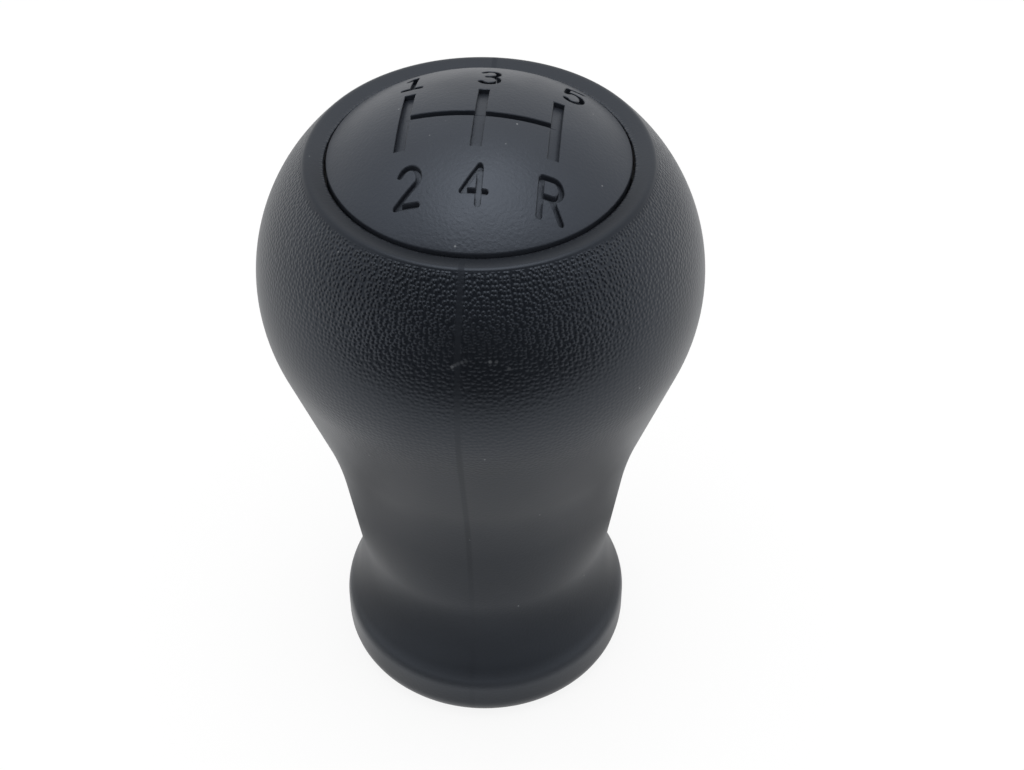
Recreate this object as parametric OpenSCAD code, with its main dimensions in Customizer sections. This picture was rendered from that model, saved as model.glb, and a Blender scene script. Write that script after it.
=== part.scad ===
// Gear shift knob: a soft grip moulded round a hard core, with a snap-in cap and a lever bush.
// The origin is the middle of the foot's rim, +Z is up and -Y is the driver's side.

/* [Head] */
// Widest diameter of the round head
head_d = 50.4; // [47:0.1:54]
// Height of the head's widest circle above the foot's rim
head_z = 60.2; // [58.5:0.1:63]
// Radius of the head's rounding, seen from the side
head_arc = 22.9; // [21:0.1:23.5]
// Slope of the head's underside, in degrees from upright
under_angle = 18.3; // [16:0.1:22]
// Height of the flat ring round the cap, above the head's widest circle
ring_rise = 15.9; // [14.5:0.1:17]
// Rounding of the ring's outer edge
ring_round = 0.6; // [0.3:0.1:1]
// Width of the ring, from its rounded edge to the cap's recess
ring_w = 1.87; // [1:0.01:2.5]
// Width of the ring's level part beside its rounded edge
ring_flat = 0.25; // [0.1:0.05:0.6]
// Fall of the ring from its level part down to the cap's recess
ring_fall = 0.45; // [0.2:0.05:0.8]

/* [Neck] */
// Height of the narrowest place
neck_z = 17; // [15.5:0.1:18.5]
// Slope of the neck as it widens upwards, in degrees
neck_angle = 8; // [6:0.1:10]
// Height at which the neck's slope meets the slope of the head's underside
throat_z = 35.2; // [32:0.1:38]
// Radius of the hollow curve that runs from the neck into the head
throat_arc = 60; // [40:1:70]

/* [Foot] */
// How far the foot stands out beyond the neck
foot_flare = 2.35; // [1.8:0.05:3]
// Radius of the hollow curve from the neck down to the foot
flare_arc = 22; // [19:0.5:25]
// Rounding of the foot's upper edge
foot_top_round = 2.8; // [1.5:0.1:3.5]
// Rounding of the foot's lower edge
foot_low_round = 3.5; // [2:0.1:4]
// Wall of the foot round the hollow, where the gaiter's collar pushes in
foot_wall = 4.35; // [4.1:0.05:4.6]
// Depth of that hollow
hollow_h = 8; // [7:0.1:8.5]

/* [Cap] */
// Gap between the cap and the grip
cap_gap = 0.25; // [0.15:0.05:0.6]
// Height of the cap's edge above the ring's inner edge
cap_edge_h = 0.4; // [0.2:0.05:0.8]
// Rise of the cap's dome above its own edge
cap_rise = 5.95; // [5:0.05:6.6]
// Thickness of the cap's dome
cap_wall = 2.2; // [1.8:0.1:2.6]
// Depth of the cap's edge, from its top corner to its seat
cap_edge_depth = 2.45; // [2.2:0.05:3]
// Rounding of the cap's top corner
cap_round = 0.3; // [0.15:0.05:0.5]
// Number of snap legs under the cap
cap_legs = 4; // [3:1:6]
// Width of each snap leg
leg_w = 6; // [4:0.5:7]
// Thickness of each snap leg
leg_t = 1.4; // [1:0.1:1.6]
// Reach of the hook on each leg
hook_reach = 0.8; // [0.5:0.1:1]
// Height of the hook on each leg
hook_h = 1.8; // [1.4:0.1:2.2]

/* [Shift pattern] */
// Distance from the middle gate slot to each outer one
slot_pitch = 8; // [7:0.1:9]
// Length of the gate slots
slot_len = 9.8; // [9:0.1:12]
// Width of the gate slots
slot_w = 1.15; // [0.8:0.05:1.4]
// Width of the cross slot
cross_w = 0.8; // [0.5:0.05:1.2]
// Depth of the slots
slot_depth = 0.6; // [0.3:0.05:0.9]
// Distance that the gate lies in front of the cap's middle
gate_front = 0.5; // [0:0.1:2]

/* [Core] */
// Step from the socket's bore out to the chamber at its end
chamber_step = 0.8; // [0.7:0.05:1.2]
// Height at which the chamber starts
chamber_z = 32; // [30:0.5:36]
// Length of the chamber, up to the socket's closed end
chamber_h = 13; // [10:0.5:14]
// Wall of the tube round the chamber
chamber_wall = 0.8; // [0.6:0.05:1.2]
// Thickness of the socket's closed end
socket_end = 2.5; // [2:0.1:3]
// Distance of the tube's lower end above the foot's rim
tube_low = 1.6; // [1.4:0.1:2]
// Wall of the hard ring that backs the foot
shoe_wall = 1.1; // [0.9:0.1:1.3]
// Distance of the hard ring above the foot's rim
shoe_low = 1.5; // [1:0.1:2]
// Thickness of the plate over the hollow
plate_t = 2; // [1.6:0.1:2.4]
// Number of ribs that hold the moulding
rib_count = 6; // [4:1:8]
// Thickness of the ribs
rib_t = 1.8; // [1.2:0.1:2.2]
// Soft wall over the ribs at the neck
rib_cover = 3; // [2.7:0.1:4.2]
// Reach of the keyed flange beyond the ribs
flange_reach = 5.2; // [4.4:0.1:6]
// Thickness of the keyed flange
flange_t = 2; // [1.6:0.1:2.6]
// Material left on each side of the flange's key holes
key_edge = 0.35; // [0.3:0.05:1]
// Wall of the cup that holds the cap's legs
cup_wall = 2.2; // [1.8:0.1:2.4]
// Gap between the cup's wall and the cap's legs
leg_gap = 0.2; // [0.1:0.05:0.4]
// Inner depth of the cup below the cap's seat
cup_depth = 9.4; // [8.6:0.1:11]
// Thickness of the cup's floor
cup_floor = 2; // [1.6:0.1:2.6]
// Thickness of the cup's rim, the cap's seat
rim_t = 1.4; // [1.2:0.1:1.8]

/* [Lever bush] */
// Bore for the lever
lever_d = 12; // [11.6:0.1:12.4]
// Wall of the bush
bush_wall = 1.4; // [1.2:0.05:1.8]
// Gap between the bush and the socket
bush_gap = 0.1; // [0.05:0.05:0.2]
// Thickness of the bush's flange
bush_flange_t = 1.3; // [1:0.1:1.35]
// Lead-in at the mouth of the bore
lead_in = 0.6; // [0.3:0.1:1]
// Relief of the fingers' bore beyond the guiding bore
finger_relief = 0.2; // [0.1:0.05:0.4]
// Distance below the chamber at which the slits between the snap fingers start
slit_low = 5; // [3:0.5:8]
// Number of snap fingers
finger_count = 4; // [3:1:6]
// Width of the slits
slit_w = 1.6; // [1:0.1:2]
// Length of the fingers beyond the barb
finger_tip = 4.4; // [3.5:0.1:7]
// Reach of the barb outside each finger, under the chamber's step
barb_reach = 0.5; // [0.3:0.05:0.55]
// Reach of the nib inside each finger, for the lever's groove
nib_reach = 0.6; // [0.3:0.1:0.9]
// Height of the nib and of the barb
nib_h = 2.4; // [1.8:0.1:3]
// Number of keys that stop the bush turning
bush_keys = 2; // [1:1:3]
// Width of the keys
key_w = 2.4; // [1.6:0.1:3]
// Height of the keys above the bush
key_h = 0.8; // [0.5:0.1:0.9]
// Length of the keys
key_len = 16; // [10:0.5:20]

/* [Hidden] */
$fn = 96;
// Overlap that ties neighbouring slices of an outline together
lap = 0.5;

// Head's side curve and the straight stretch below it
head_cr = head_d / 2 - head_arc;
under_r = head_cr + head_arc * cos(under_angle);
under_z = head_z - head_arc * sin(under_angle);

// Circle on the ring's outer edge, which touches the ring and the head's side curve
ring_z = head_z + ring_rise;
ring_cz = ring_z - ring_round;
ring_cr = head_cr + sqrt(pow(head_arc - ring_round, 2) - pow(ring_cz - head_z, 2));
ring_touch_z = head_z + (ring_cz - head_z) * head_arc / (head_arc - ring_round);

// Where the two straight stretches meet, and the throat circle that touches both
throat_r = under_r - (under_z - throat_z) * tan(under_angle);
mid_angle = (neck_angle + under_angle) / 2;
throat_reach = throat_arc / cos((under_angle - neck_angle) / 2);
throat_cr = throat_r + throat_reach * cos(mid_angle);
throat_cz = throat_z - throat_reach * sin(mid_angle);
throat_z0 = throat_cz + throat_arc * sin(neck_angle);
throat_z1 = throat_cz + throat_arc * sin(under_angle);
throat_r0 = throat_cr - throat_arc * cos(neck_angle);
throat_r1 = throat_cr - throat_arc * cos(under_angle);

// Flare circle, which touches the straight neck above it
taper_z = neck_z + flare_arc * sin(neck_angle);
taper_r = throat_r - (throat_z - taper_z) * tan(neck_angle);
flare_cr = taper_r + flare_arc * cos(neck_angle);
neck_r = flare_cr - flare_arc;
foot_r = neck_r + foot_flare;

// Circle on the foot's upper edge, which touches the foot's wall and the flare
edge_cr = foot_r - foot_top_round;
edge_cz = neck_z - sqrt(pow(flare_arc + foot_top_round, 2) - pow(flare_cr - edge_cr, 2));
edge_share = foot_top_round / (flare_arc + foot_top_round);
edge_z = edge_cz + (neck_z - edge_cz) * edge_share;

// Cap's dome, its seat and the snap bead in the cup
recess_r = ring_cr - ring_w;
ring_low_z = ring_z - ring_fall;
fall_h = ring_fall + 1;
fall_r = recess_r + (ring_w - ring_flat) * fall_h / ring_fall;
cap_r = recess_r - cap_gap;
cap_edge_z = ring_low_z + cap_edge_h;
cap_seat_z = cap_edge_z - cap_edge_depth;
dome_r = (cap_r * cap_r + cap_rise * cap_rise) / (2 * cap_rise);
dome_cz = cap_edge_z + cap_rise - dome_r;
corner_cr = cap_r - cap_round;
corner_cz = dome_cz + sqrt(pow(dome_r - cap_round, 2) - pow(corner_cr, 2));
cup_r = recess_r - rim_t;
cup_bore_r = cup_r - cup_wall;
leg_r = cup_bore_r - leg_gap;
cup_floor_z = cap_seat_z - cup_depth;
leg_low_z = cup_floor_z + 1;
bead_z = leg_low_z + hook_h;

// Lever, bush and core, from the inside out
bore_r = lever_d / 2;
bush_r = bore_r + bush_wall;
socket_r = bush_r + bush_gap;
chamber_r = socket_r + chamber_step;
tube_r = chamber_r + chamber_wall;
socket_top = chamber_z + chamber_h;
hollow_r = foot_r - foot_wall;
shoe_r = hollow_r + shoe_wall;
plate_z = hollow_h + plate_t;
flange_z = socket_top + socket_end;
rib_r = neck_r - rib_cover;
flange_r = rib_r + flange_reach;
key_circle_r = (rib_r + flange_r) / 2;
key_r = flange_reach / 2 - key_edge;
rib_top = cup_floor_z - cup_floor;

// Bush
bush_low = tube_low - bush_flange_t;
barb_z = chamber_z + 0.2;
key_top = tube_low + key_len;
finger_top = barb_z + nib_h + finger_tip;
slit_z = chamber_z - slit_low;
bore_top = slit_z - 1;

// A level slice of a turned shape whose side is a straight line, with its laps below and above
module straight_slice(r0, z0, r1, z1, low = 0, high = 0) {
    slope = (r1 - r0) / (z1 - z0);
    z_low = z0 - low;
    z_high = z1 + high;
    polygon([[0, z_low], [r0 - low * slope, z_low], [r1 + high * slope, z_high], [0, z_high]]);
}

// A level slice of a turned shape whose side is a hollow curve
module hollow_slice(cr, cz, r, z0, z1) {
    difference() {
        translate([0, z0]) square([cr, z1 - z0]);
        translate([cr, cz]) circle(r = r);
    }
}

// A level slice of a turned shape whose side bulges
module round_slice(cr, cz, r, z0, z1) {
    intersection() {
        union() {
            translate([cr, cz]) circle(r = r);
            translate([0, z0]) square([cr, z1 - z0]);
        }
        translate([0, z0]) square([cr + r, z1 - z0]);
    }
}

// Half of the knob's side view, from the foot's rim up to the ring
module grip_outline() {
    low_r = foot_low_round;
    round_slice(foot_r - low_r, low_r, low_r, 0, low_r + lap);
    straight_slice(foot_r, low_r, foot_r, edge_cz);
    round_slice(edge_cr, edge_cz, foot_top_round, edge_cz - lap, edge_z + lap);
    hollow_slice(flare_cr, neck_z, flare_arc, edge_z, taper_z);
    straight_slice(taper_r, taper_z, throat_r0, throat_z0, low = lap, high = lap);
    hollow_slice(throat_cr, throat_cz, throat_arc, throat_z0, throat_z1);
    straight_slice(throat_r1, throat_z1, under_r, under_z, low = lap);
    round_slice(head_cr, head_z, head_arc, under_z - lap, ring_touch_z);
    round_slice(ring_cr, ring_cz, ring_round, ring_touch_z - lap, ring_z);
}

// A hollow round wall
module tube_wall(r_out, r_in, z0, z1) {
    difference() {
        translate([0, 0, z0]) cylinder(r = r_out, h = z1 - z0);
        translate([0, 0, z0 - 1]) cylinder(r = r_in, h = z1 - z0 + 2);
    }
}

// Upright ribs set round the axis, from the axis out to radius r
module ribs(count, r, t, z0, z1) {
    for (i = [0 : count - 1])
        rotate([0, 0, i * 360 / count]) translate([0, -t / 2, z0]) cube([r, t, z1 - z0]);
}

// The core's outer form, with its socket and its cup filled in
module core_outer() {
    translate([0, 0, tube_low]) cylinder(r = tube_r, h = flange_z - tube_low);
    tube_wall(shoe_r, hollow_r, shoe_low, plate_z);
    translate([0, 0, hollow_h]) cylinder(r = shoe_r, h = plate_t);
    ribs(rib_count, rib_r, rib_t, plate_z - lap, rib_top + lap);
    key_flange();
    translate([0, 0, rib_top]) cylinder(r = cup_r, h = cap_seat_z - rib_top);
    translate([0, 0, cap_seat_z - rim_t]) cylinder(r = recess_r, h = rim_t);
}

// Flange inside the head, with holes that the moulding fills
module key_flange() {
    difference() {
        translate([0, 0, flange_z]) cylinder(r = flange_r, h = flange_t);
        for (i = [0 : rib_count - 1])
            rotate([0, 0, (i + 0.5) * 360 / rib_count])
                translate([key_circle_r, 0, flange_z - 1]) cylinder(r = key_r, h = flange_t + 2);
    }
}

// Socket with its wider chamber and the grooves for the bush's keys
module socket() {
    translate([0, 0, tube_low - 1]) cylinder(r = socket_r, h = socket_top - tube_low + 1);
    translate([0, 0, chamber_z]) cylinder(r = chamber_r, h = socket_top - chamber_z);
    key_groove_r = bush_r + key_h + bush_gap;
    intersection() {
        ribs(bush_keys, tube_r, key_w + 2 * bush_gap, tube_low - 1, key_top + bush_gap);
        translate([0, 0, tube_low - 1]) cylinder(r = key_groove_r, h = socket_top);
    }
}

// Inside of the cup, with the groove that the cap's hooks snap into
module cup_bore() {
    translate([0, 0, cup_floor_z]) cylinder(r = cup_bore_r, h = cup_depth + 1);
    translate([0, 0, leg_low_z - leg_gap]) cylinder(r = cup_bore_r + hook_reach, h = hook_h + 2 * leg_gap);
}

module grip_body() {
    color([0.13, 0.14, 0.16]) difference() {
        rotate_extrude() grip_outline();
        core_outer();
        translate([0, 0, -1]) cylinder(r = hollow_r, h = hollow_h + 1);
        translate([0, 0, cap_seat_z]) cylinder(r = recess_r, h = ring_z - cap_seat_z + 1);
        translate([0, 0, ring_low_z]) cylinder(r1 = recess_r, r2 = fall_r, h = fall_h);
    }
}

module core() {
    color([0.24, 0.25, 0.27]) difference() {
        core_outer();
        socket();
        cup_bore();
    }
}

// Half of the cap's outer form: its edge wall, the dome and the rounded corner between them
module cap_outline() {
    reach = 3 * cap_round;
    out = corner_cr / (dome_r - cap_round);
    up = (corner_cz - dome_cz) / (dome_r - cap_round);
    difference() {
        intersection() {
            translate([0, dome_cz]) circle(r = dome_r);
            translate([0, cap_seat_z]) square([cap_r, cap_edge_depth + cap_rise + 1]);
        }
        translate([corner_cr, corner_cz]) difference() {
            polygon([[0, 0], [reach, 0], [reach, reach * up], [reach * out, reach * up]]);
            circle(r = cap_round);
        }
    }
}

// The cap as a dome of even thickness with its edge wall
module cap_shell() {
    rotate_extrude() difference() {
        cap_outline();
        intersection() {
            translate([0, dome_cz]) circle(r = dome_r - cap_wall);
            translate([0, cap_seat_z - 1]) square([cup_r, cap_rise + cap_edge_depth + 1]);
        }
    }
}

// Legs that reach down into the cup, each with a hook at its foot
module snap_legs() {
    leg_top = cap_edge_z + cap_rise - cap_wall;
    intersection() {
        union() {
            tube_wall(leg_r, leg_r - leg_t, leg_low_z, leg_top);
            rotate_extrude() polygon([
                [leg_r - leg_t / 2, leg_low_z], [leg_r, leg_low_z],
                [leg_r + hook_reach, bead_z - hook_h / 3], [leg_r + hook_reach, bead_z],
                [leg_r - leg_t / 2, bead_z]]);
        }
        rotate([0, 0, 45]) ribs(cap_legs, cap_r, leg_w, leg_low_z - 1, leg_top + 1);
        translate([0, 0, dome_cz]) sphere(r = dome_r - cap_wall / 2);
    }
}

// Gate slots, sunk square into the dome
module gate_slots() {
    difference() {
        translate([0, -gate_front, 0]) union() {
            for (side = [-1 : 1])
                translate([side * slot_pitch - slot_w / 2, -slot_len / 2, cap_edge_z])
                    cube([slot_w, slot_len, cap_rise + 1]);
            translate([-slot_pitch, -cross_w / 2, cap_edge_z]) cube([2 * slot_pitch, cross_w, cap_rise + 1]);
        }
        translate([0, 0, dome_cz]) sphere(r = dome_r - slot_depth);
    }
}

module shift_cap() {
    color([0.33, 0.34, 0.36]) difference() {
        union() {
            cap_shell();
            snap_legs();
        }
        gate_slots();
    }
}

// The bush as a turned sleeve: flange, guiding bore, barb outside and nib inside
module bush_turned() {
    finger_r = bore_r + finger_relief;
    nib_r = bore_r - nib_reach;
    barb_r = bush_r + barb_reach;
    lead_top = finger_top - (bush_r - finger_r) / 2;
    rotate_extrude() polygon([
        [bore_r + lead_in, bush_low], [tube_r, bush_low], [tube_r, tube_low], [bush_r, tube_low],
        [bush_r, barb_z], [barb_r, barb_z], [barb_r, barb_z + nib_h / 3], [bush_r, barb_z + nib_h],
        [bush_r, finger_top], [(bush_r + finger_r) / 2, finger_top], [finger_r, lead_top],
        [finger_r, barb_z + nib_h], [nib_r, barb_z + nib_h * 2 / 3],
        [nib_r, barb_z + nib_h / 3], [finger_r, barb_z - nib_h / 3],
        [finger_r, bore_top + finger_relief], [bore_r, bore_top], [bore_r, bush_low + lead_in]]);
}

module lever_bush() {
    color([0.75, 0.74, 0.7]) {
        difference() {
            bush_turned();
            rotate([0, 0, 45])
                ribs(finger_count, chamber_r, slit_w, slit_z, finger_top + 1);
        }
        difference() {
            intersection() {
                ribs(bush_keys, tube_r, key_w, tube_low, key_top);
                translate([0, 0, tube_low]) cylinder(r = bush_r + key_h, h = key_len);
            }
            translate([0, 0, tube_low - 1]) cylinder(r = (bush_r + bore_r) / 2, h = key_len + 2);
        }
    }
}

grip_body();
core();
shift_cap();
lever_bush();
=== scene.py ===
"""Gear shift knob: the grained grip, the cap with its sunk shift pattern, and a pale studio."""

import math

import bpy
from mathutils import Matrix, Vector


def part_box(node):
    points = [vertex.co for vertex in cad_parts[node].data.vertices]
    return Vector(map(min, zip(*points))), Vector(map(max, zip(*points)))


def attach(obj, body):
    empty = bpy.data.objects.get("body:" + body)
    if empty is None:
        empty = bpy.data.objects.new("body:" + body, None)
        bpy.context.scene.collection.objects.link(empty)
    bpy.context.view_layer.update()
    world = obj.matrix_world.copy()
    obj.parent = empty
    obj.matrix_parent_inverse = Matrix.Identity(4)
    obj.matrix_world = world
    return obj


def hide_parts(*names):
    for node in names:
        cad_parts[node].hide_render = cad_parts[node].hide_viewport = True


bl_info = {
    "name": "Gear Shift Knob",
    "version": (1, 0, 0),
    "blender": (4, 5, 0),
    "location": "3D View > Sidebar > Knob",
    "description": "Gives a gear shift knob's solids their grained skin and sunk shift pattern",
    "category": "Add Mesh",
}

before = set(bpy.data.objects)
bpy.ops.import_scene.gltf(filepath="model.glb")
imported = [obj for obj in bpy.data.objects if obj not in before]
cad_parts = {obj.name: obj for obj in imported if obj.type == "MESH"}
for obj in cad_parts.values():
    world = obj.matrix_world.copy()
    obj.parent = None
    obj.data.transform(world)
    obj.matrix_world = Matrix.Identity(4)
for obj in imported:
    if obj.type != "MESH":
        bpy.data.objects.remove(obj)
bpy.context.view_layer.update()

MM = 0.001
BODY = "root"
GRIP_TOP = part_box("grip_body")[1]
CORE_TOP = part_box("core")[1]
CAP_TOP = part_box("shift_cap")[1]
BUSH_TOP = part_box("lever_bush")[1]

# Sizes that the solids fix
HEAD_R = GRIP_TOP.x
RING_Z = GRIP_TOP.z
CAP_R = CAP_TOP.x
CAP_APEX_Z = CAP_TOP.z
CAP_SEAT_Z = CORE_TOP.z
TUBE_R = BUSH_TOP.x

QUARTER = math.pi / 2

# Points of an outline closer together than this count as one
SAME_POINT = 0.01 * MM
# Vertices of a spun section closer together than this are merged
MERGE_DISTANCE = 0.002 * MM
# Vertices of the skin this near the middle plane lie on the mould line
ON_LINE = 0.02 * MM
# Longest step along a number's stroke
STROKE_STEP = 0.5 * MM
# Strokes that cross get floors this much apart, so that no two of their faces coincide
FLOOR_STEP = 0.02 * MM
# A cutter stands this many bevels proud of the dome
PROUD = 2
# Steps round half the skin, the mould line, the cap and a ring of painted shade
SKIN_STEPS = 96
SEAM_STEPS = 2
CAP_STEPS = 144
SHADE_RING_STEPS = 96
# Edges sharper than this stay crisp
SKIN_CRISP = math.radians(40)
CAP_CRISP = math.radians(30)
# Numbers of the shift pattern and their places across the cap, in mm
FAR_NUMBERS = (("1", -7.9), ("3", 0.5), ("5", 9.6))
NEAR_NUMBERS = (("2", -6.3), ("4", 0.5), ("R", 8.35))

# The skin and the cap reflect a little blue: tint and specular level of their gloss
GLOSS_TINT = (0.76, 0.85, 1.0, 1)
GLOSS_LEVEL = 0.54
CORE_TINT = (0.018, 0.019, 0.021)
BUSH_TINT = (0.55, 0.53, 0.47)
# Roughness, from the smoother to the duller patches
SKIN_ROUGHNESS = (0.36, 0.42)
CAP_ROUGHNESS = (0.4, 0.47)
CORE_ROUGHNESS = 0.5
BUSH_ROUGHNESS = 0.42
# Noises: scale and detail
SKIN_FINE = (3000, 2)
SKIN_WORN = (60, 2)
CAP_FINE = (2600, 3)
CAP_WORN = (110, 3)
BLACK_CLOUD = (90, 3)
PLASTIC_FINE = (1500, 2)
PLASTIC_CLOUD = (240, 4)
# Part of a noise's range that is stretched to the whole
NOISE_SPAN = (0.3, 0.7)
# Depths of the fine grains
SKIN_FINE_DEPTH = 0.012 * MM
CAP_FINE_DEPTH = 0.035 * MM
PLASTIC_FINE_DEPTH = 0.015 * MM
# Lightness of a colour's darker and lighter clouds
BLACK_CLOUDS = (0.9, 1.12)
PLASTIC_CLOUDS = (0.88, 1.1)
# A pebble and a dust speck, in parts of their cell, from the middle to the edge
PEBBLE_SPAN = (0.08, 0.6)
SPECK_SPAN = (0.02, 0.055)
# Dust: colour, cells per metre, and the share of cells with a speck
DUST_TINT = (0.16, 0.165, 0.17, 1)
DUST_SPACING = 380.0
SKIN_DUST = 0.16
CAP_DUST = 0.8
# Small scuffs on the front of the head: place in mm, and strength
SCUFFS = (
    ((-0.54, -24.0, 67.5), 0.3),
    ((-0.25, -23.94, 67.7), 0.15),
    ((0.06, -23.88, 67.86), 0.13),
    ((0.45, -23.82, 68.02), 0.13),
    ((0.87, -23.76, 68.15), 0.11),
    ((3.27, -23.57, 68.09), 0.28),
    ((3.92, -23.48, 68.06), 0.15),
    ((5.19, -23.53, 67.23), 0.18),
)

# Heights on the grip, in mm, between which a look sets in or fades
FOOT_WALL_Z = (3.5, 8)
FOOT_EDGE_Z = (7.4, 9.4)
FLARE_Z = (12, 17)
NECK_Z = (20, 32)
HEAD_START_Z = (46, 56)
SEAM_END_Z = (54, 62)
GRAIN_Z = (62, 74)
BROW_SHADE_Z = (69, 74)
# The same, as heights from the top of the ring
RING_RISE = (-0.7, -0.5)
GRAIN_END = (-0.45, -0.25)
# The same along Y, where the front is negative, and by distance from the axis
RING_SHADE_Y = (-9, 3)
BROW_SHADE_Y = (-21, -12)
RING_SHADE_R = (17.4, 18.8)
# The same by distance from the mould line, and by distance from the smooth band's edge
SEAM_X = (0.1, 0.5)
SIDE_X = (11, 22)
SEAM_EDGE = (-0.05, 0.12)
# Radius of a scuff, in mm, from its full strength to none
SCUFF_R = (0.08, 0.28)

# Strength of the grain on the mould line, low on the head and at its sides
SEAM_GRAIN = 0.2
LOW_GRAIN = 0.16
SIDE_GRAIN = 0.6
# How much rougher the mould line is on the head
SEAM_ROUGHER = 0.24
# Share of the gloss that the mould line loses, and that the ring's front and the head below it
# lose as painted shade
SEAM_LOSS = 0.2
RING_FRONT_SHADE = (0.42, 0.25)
BROW_SHADE = 0.35
# Gloss of the foot from its edge upwards, a painted highlight on the edge and painted shade above
# it; its factor low on the wall, painted shade; and the gain on the flare
FOOT_EDGE_HIGHLIGHT = (1.35, 0.8)
FOOT_WALL_SHADE = 0.45
FLARE_GAIN = 0.2

# The dark card's section in metres: along the view, where the front is negative, and upwards
CARD_SECTION = (
    (-0.125, 0.002),
    (-0.34, 0.002),
    (-0.46, 0.12),
    (-0.46, 0.34),
    (-0.43, 0.56),
    (-0.3, 0.68),
)
CARD_WIDTH = 1.2
CARD_TINT = (0.02, 0.02, 0.022)
FLOOR_SIZE = 6
# The grey rings of painted shade round the foot, seen only in reflections: lower and upper faces,
# and each one's radii and tone
SHADE_RING_Z = (0.0004, 0.0007)
SHADE_RINGS = (("near_shade_ring", 0.026, 0.031, 0.13), ("far_shade_ring", 0.031, 0.0355, 0.33))
# Strength of the white surroundings as light, and as the camera and reflections see them
WORLD_LEVELS = (0.9, 1.0)
LAMP_PLACE = (0.01, -0.02, 0.64)
LAMP_AIM = (0, 0, 0.05)
LAMP_SIZE = 0.4
LAMP_POWER = 1.45
SENSOR_WIDTH = 36
NEAR_CLIP = 0.01


def length(label, millimetres, text):
    """A size in metres, given here in millimetres."""
    return bpy.props.FloatProperty(
        name=label, description=text, default=millimetres * MM, unit="LENGTH", precision=5
    )


def angle(label, degrees, text):
    """An angle, given here in degrees."""
    return bpy.props.FloatProperty(
        name=label, description=text, default=math.radians(degrees), subtype="ANGLE"
    )


def colour(label, value, text):
    """A colour, linear."""
    return bpy.props.FloatVectorProperty(
        name=label, description=text, default=value, size=3, subtype="COLOR", min=0, max=1
    )


class KnobGripSettings(bpy.types.PropertyGroup):
    """Sizes and colour of the soft grip."""

    head_z: length("Head height", 60.2, "Height of the widest circle of the head")
    head_arc: length("Head arc", 22.9, "Radius of the head seen from the side")
    under_angle: angle("Underside slope", 18.3, "Slope of the head's underside from upright")
    ring_round: length("Ring edge", 0.6, "Rounding of the ring's outer edge")
    ring_flat: length("Ring's level part", 0.25, "Width of the ring's level part")
    ring_fall: length("Ring's fall", 0.45, "Fall from the ring's level part to the cap's recess")
    ring_lip: length("Ring's inner edge", 0.21, "Rounding of the ring's inner edge")
    throat_z: length("Throat height", 35.2, "Height where the neck's slope meets the underside's")
    neck_z: length("Neck height", 17, "Height of the narrowest place")
    neck_angle: angle("Neck slope", 8, "Slope of the neck as it widens upwards")
    throat_arc: length("Throat arc", 60, "Radius of the curve from the neck into the head")
    foot_flare: length("Foot flare", 2.35, "How far the foot stands out beyond the neck")
    flare_arc: length("Flare arc", 22, "Radius of the curve from the neck down to the foot")
    foot_top_round: length("Foot upper edge", 5, "Rounding of the foot's upper edge")
    foot_low_round: length("Foot lower edge", 3.5, "Rounding of the foot's lower edge")
    foot_wall: length("Foot wall", 4.35, "Wall of the foot round its hollow")
    shoe_wall: length("Hard ring wall", 1.1, "Wall of the hard ring that backs the foot")
    shoe_low: length("Hard ring height", 1.5, "Distance of the hard ring above the foot's rim")
    plate_z: length("Plate height", 10, "Height of the top of the plate over the hollow")
    cup_h: length("Cup height", 11.4, "Height of the cup below the cap's seat, with its floor")
    seam_half: length("Seam half width", 0.38, "Half the width of the mould line on the head")
    seam_depth: length("Seam depth", 0.02, "Depth of the mould line")
    smooth_half: length("Smooth band", 0.28, "Half the ungrained band's width at the mould line")
    grain_size: length("Grain size", 0.5, "Width of one pebble of the grain")
    grain_depth: length("Grain depth", 0.09, "Height of the grain's pebbles")
    tint: colour("Colour", (0.0044, 0.0057, 0.0084), "Colour of the soft grip")


class KnobCapSettings(bpy.types.PropertyGroup):
    """Sizes and colour of the cap and its sunk pattern."""

    gap: length("Gap", 0.25, "Gap between the cap and the grip")
    edge_h: length("Edge height", 0.4, "Height of the cap's edge above the ring's inner edge")
    wall: length("Wall", 2.2, "Thickness of the dome")
    corner: length("Corner", 0.3, "Rounding of the cap's top corner")
    rim_t: length("Rim", 1.4, "Thickness of the seat under the cap")
    slot_pitch: length("Slot pitch", 8, "Distance between neighbouring gate slots")
    slot_len: length("Slot length", 9.8, "Length of the gate slots")
    slot_w: length("Slot width", 1.15, "Width of the gate slots")
    cross_w: length("Cross slot width", 0.8, "Width of the cross slot")
    gate_front: length("Gate offset", 0.5, "Distance of the gate in front of the cap's middle")
    gate_side: length("Gate side offset", 0.2, "How far the gate lies to the right of the middle")
    sink: length("Depth", 0.6, "Depth of the slots and numbers")
    bevel: length("Edge bevel", 0.07, "Bevel round the slots and numbers")
    digit_h: length("Number height", 4.7, "Height of the numbers")
    digit_w: length("Number width", 3, "Width of the box in which a number is drawn")
    stroke_w: length("Stroke width", 0.58, "Width of the numbers' strokes")
    near_row: length("Near row", -9.88, "Place of the near row of numbers")
    far_row: length("Far row", 8.1, "Place of the far row of numbers")
    tint: colour("Colour", (0.0148, 0.0172, 0.0225), "Colour of the cap")


class KnobStageSettings(bpy.types.PropertyGroup):
    """The floor and the camera."""

    floor_tint: colour("Floor", (0.93, 0.93, 0.93), "Colour of the floor")
    floor_white: bpy.props.FloatProperty(
        name="White", description="Share of plain white in the floor", default=0.87
    )
    view_elevation: angle("Camera elevation", 43.8, "How steeply the camera looks down")
    view_turn: angle("Knob turn", 4.8, "How far the knob is turned from square to the camera")
    view_reach: length("Camera distance", 220, "Distance from the camera to its aim")
    view_side: length("Aim offset", 3.5, "How far the aim lies to the right of the axis")
    view_aim_z: length("Aim height", 42.1, "Height of the camera's aim")
    lens: bpy.props.FloatProperty(name="Lens", description="Focal length in mm", default=64.6)


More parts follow.
